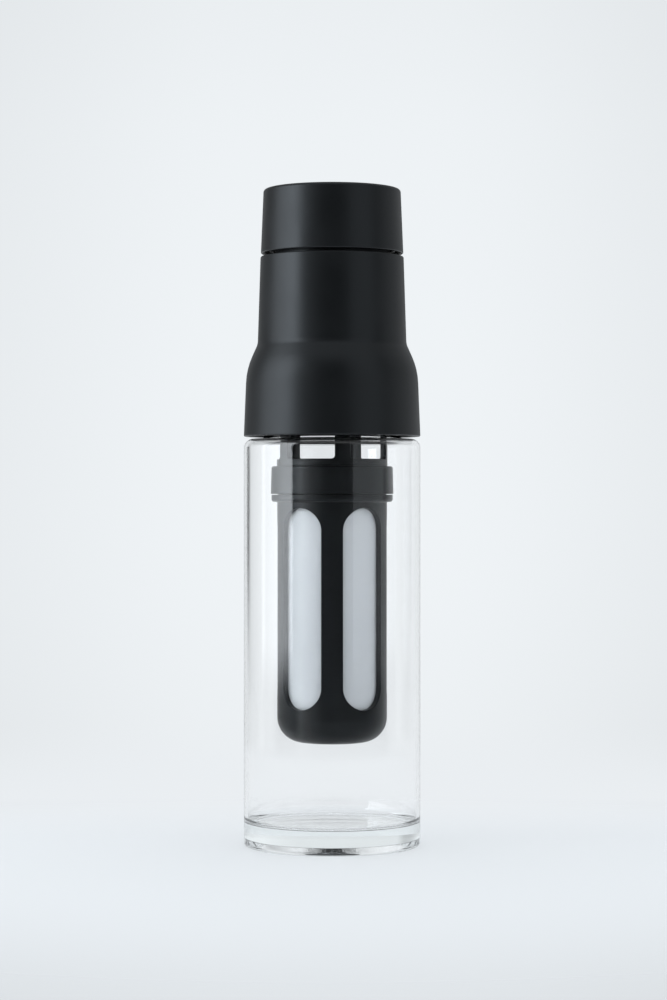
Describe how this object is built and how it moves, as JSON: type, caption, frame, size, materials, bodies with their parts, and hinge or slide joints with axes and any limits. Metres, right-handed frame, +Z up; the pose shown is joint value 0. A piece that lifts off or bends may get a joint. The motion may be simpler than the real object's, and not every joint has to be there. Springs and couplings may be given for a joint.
{
  "type": "cold brew coffee maker",
  "caption": "Tall glass carafe with a black plug-in lid, a screw cap and a hanging strainer basket for making cold brew coffee.",
  "frame": {"origin": "centre of the base, on the surface that the carafe stands on", "axes": "+Z up along the carafe's axis; -Y is the front, where one rib of the strainer faces"},
  "size_m": [0.085, 0.085, 0.3157],
  "materials": {
    "glass": "clear blown borosilicate glass, fire-polished",
    "black_plastic": "fine matte black moulded polypropylene",
    "silicone": "dark moulded silicone rubber",
    "mesh": "fine white woven polyester mesh"
  },
  "bodies": {
    "carafe": {"glass_body": "glass"},
    "lid": {"neck_gasket": "silicone", "collar_shell": "black_plastic", "pouring_tube": "black_plastic", "strainer_holder": "black_plastic", "coupling_ring": "black_plastic"},
    "basket_seal": {"basket_seal": "silicone"},
    "basket": {"strainer_basket": "black_plastic", "mesh_sleeve": "mesh"},
    "cap_seal": {"cap_seal": "silicone"},
    "cap": {"cap_shell": "black_plastic", "cap_liner": "black_plastic"}
  },
  "joints": [
    {"name": "lid_lift", "type": "slide", "parent": "carafe", "child": "lid", "axis": [0, 0, 1], "range_m": [0, 0.18]},
    {"name": "basket_drop", "type": "slide", "parent": "lid", "child": "basket_seal", "axis": [0, 0, -1], "range_m": [0, 0.0101]},
    {"name": "basket_turn", "type": "hinge", "parent": "basket_seal", "child": "basket", "pos_m": [0, 0, 0.17], "axis": [0, 0, -1], "range_deg": [0, 450]},
    {"name": "cap_lift", "type": "slide", "parent": "lid", "child": "cap_seal", "axis": [0, 0, 1], "range_m": [0, 0.0101]},
    {"name": "cap_turn", "type": "hinge", "parent": "cap_seal", "child": "cap", "pos_m": [0, 0, 0.3], "axis": [0, 0, 1], "range_deg": [0, 450]}
  ],
  "couplings": [
    {"joint": "basket_drop", "follows": "basket_turn", "m_per_rad": 0.0012732},
    {"joint": "cap_lift", "follows": "cap_turn", "m_per_rad": 0.0012732}
  ]
}
